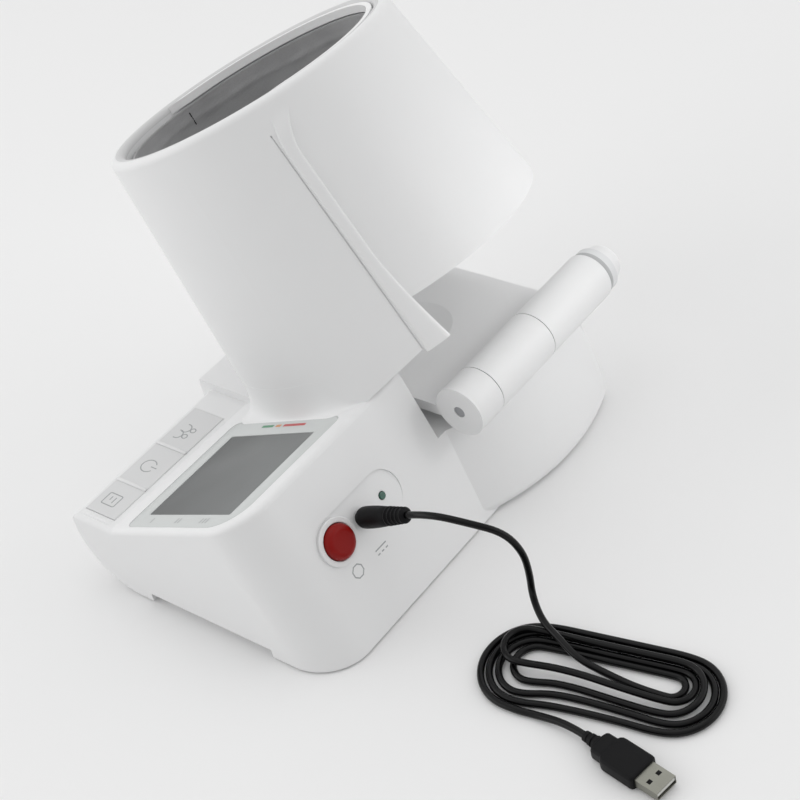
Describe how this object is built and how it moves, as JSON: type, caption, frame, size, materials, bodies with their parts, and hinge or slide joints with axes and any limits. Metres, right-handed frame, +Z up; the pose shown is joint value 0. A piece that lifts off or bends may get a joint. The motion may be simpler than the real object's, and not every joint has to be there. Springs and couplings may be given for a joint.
{
  "type": "blood pressure monitor",
  "caption": "Desktop arm-in blood pressure monitor: wedge base with display and keys, tilted lined arm tunnel, hinged elbow rest, stop button and coiled USB power cord.",
  "frame": {"origin": "on the table plane, 1.2 mm under the flat underside of the lower case, near the middle of the base", "axes": "+X to the control half, +Y to the rear face with stop button and socket, +Z up"},
  "size_m": [0.2677, 0.372, 0.228],
  "materials": {
    "white_shell": "fine satin white moulding",
    "white_gloss": "smooth white moulding",
    "panel_border": "clear window with a pale grey border",
    "lcd_glass": "dark grey liquid-crystal glass",
    "grey_fabric": "dark grey woven lining",
    "red_cap": "dark red moulded cap",
    "black_plastic": "matt black moulding",
    "black_rubber": "soft black cord jacket",
    "foot_rubber": "grey-black rubber",
    "green_lens": "dark green lens",
    "plug_metal": "plated steel",
    "steel": "plain steel",
    "tongue_white": "white contact carrier",
    "dark_washer": "dark grey ring",
    "silicone": "translucent grey silicone",
    "bladder": "thin rubber",
    "board_green": "circuit board",
    "cell_wrap": "plain wrapped cell"
  },
  "bodies": {
    "base": {"upper_case": "white_shell", "lower_case": "white_shell", "rubber_feet": "foot_rubber", "case_screws": "steel", "battery_door": "white_shell", "battery_cells": "cell_wrap", "battery_contacts": "plug_metal", "display_panel": "panel_border", "lcd_module": "lcd_glass", "key_mat": "silicone", "main_board": "board_green", "buzzer": "black_plastic", "pump": "steel", "valve": "black_plastic", "air_hose": "silicone", "stop_ring": "white_gloss", "stop_switch": "black_plastic", "power_socket": "black_plastic", "lamp_lens": "green_lens", "far_shell": "white_shell", "seam_strip": "white_shell", "rim_ring": "white_shell", "rim_lip": "white_shell", "cuff_lining": "grey_fabric", "cuff_sleeve": "white_shell", "air_bladder": "bladder", "exit_closer": "white_shell", "hinge_bracket": "white_shell", "hinge_pin": "steel", "hinge_washer": "dark_washer", "hinge_cap": "white_gloss", "rest_switch": "black_plastic", "plug_tip": "plug_metal", "power_plug": "black_plastic", "plug_boot": "black_rubber", "cord_lead": "black_rubber", "cord_hank": "black_rubber", "cord_tail": "black_rubber", "usb_body": "black_plastic", "usb_shell": "plug_metal", "usb_tongue": "tongue_white"},
    "key_left": {"key_left": "white_gloss"},
    "key_middle": {"key_middle": "white_gloss"},
    "key_right": {"key_right": "white_gloss"},
    "stop_button": {"stop_button": "red_cap"},
    "arm_rest": {"arm_rest": "white_shell"}
  },
  "joints": [
    {"name": "key_left_press", "type": "slide", "parent": "base", "child": "key_left", "axis": [0, 0, -1], "range_m": [0, 0.0012], "stiffness_N_per_m": 1200, "springref_m": -0.0005},
    {"name": "key_middle_press", "type": "slide", "parent": "base", "child": "key_middle", "axis": [0, 0, -1], "range_m": [0, 0.0012], "stiffness_N_per_m": 1200, "springref_m": -0.0005},
    {"name": "key_right_press", "type": "slide", "parent": "base", "child": "key_right", "axis": [0, 0, -1], "range_m": [0, 0.0012], "stiffness_N_per_m": 1200, "springref_m": -0.0005},
    {"name": "stop_press", "type": "slide", "parent": "base", "child": "stop_button", "axis": [0, -0.9011, -0.4337], "range_m": [0, 0.003], "stiffness_N_per_m": 900, "springref_m": -0.0005},
    {"name": "rest_hinge", "type": "hinge", "parent": "base", "child": "arm_rest", "pos_m": [-0.061, 0.068, 0.067], "axis": [1, 0, 0], "range_deg": [0, 3], "stiffness_Nm_per_rad": 2.5, "springref_deg": -5.73}
  ]
}
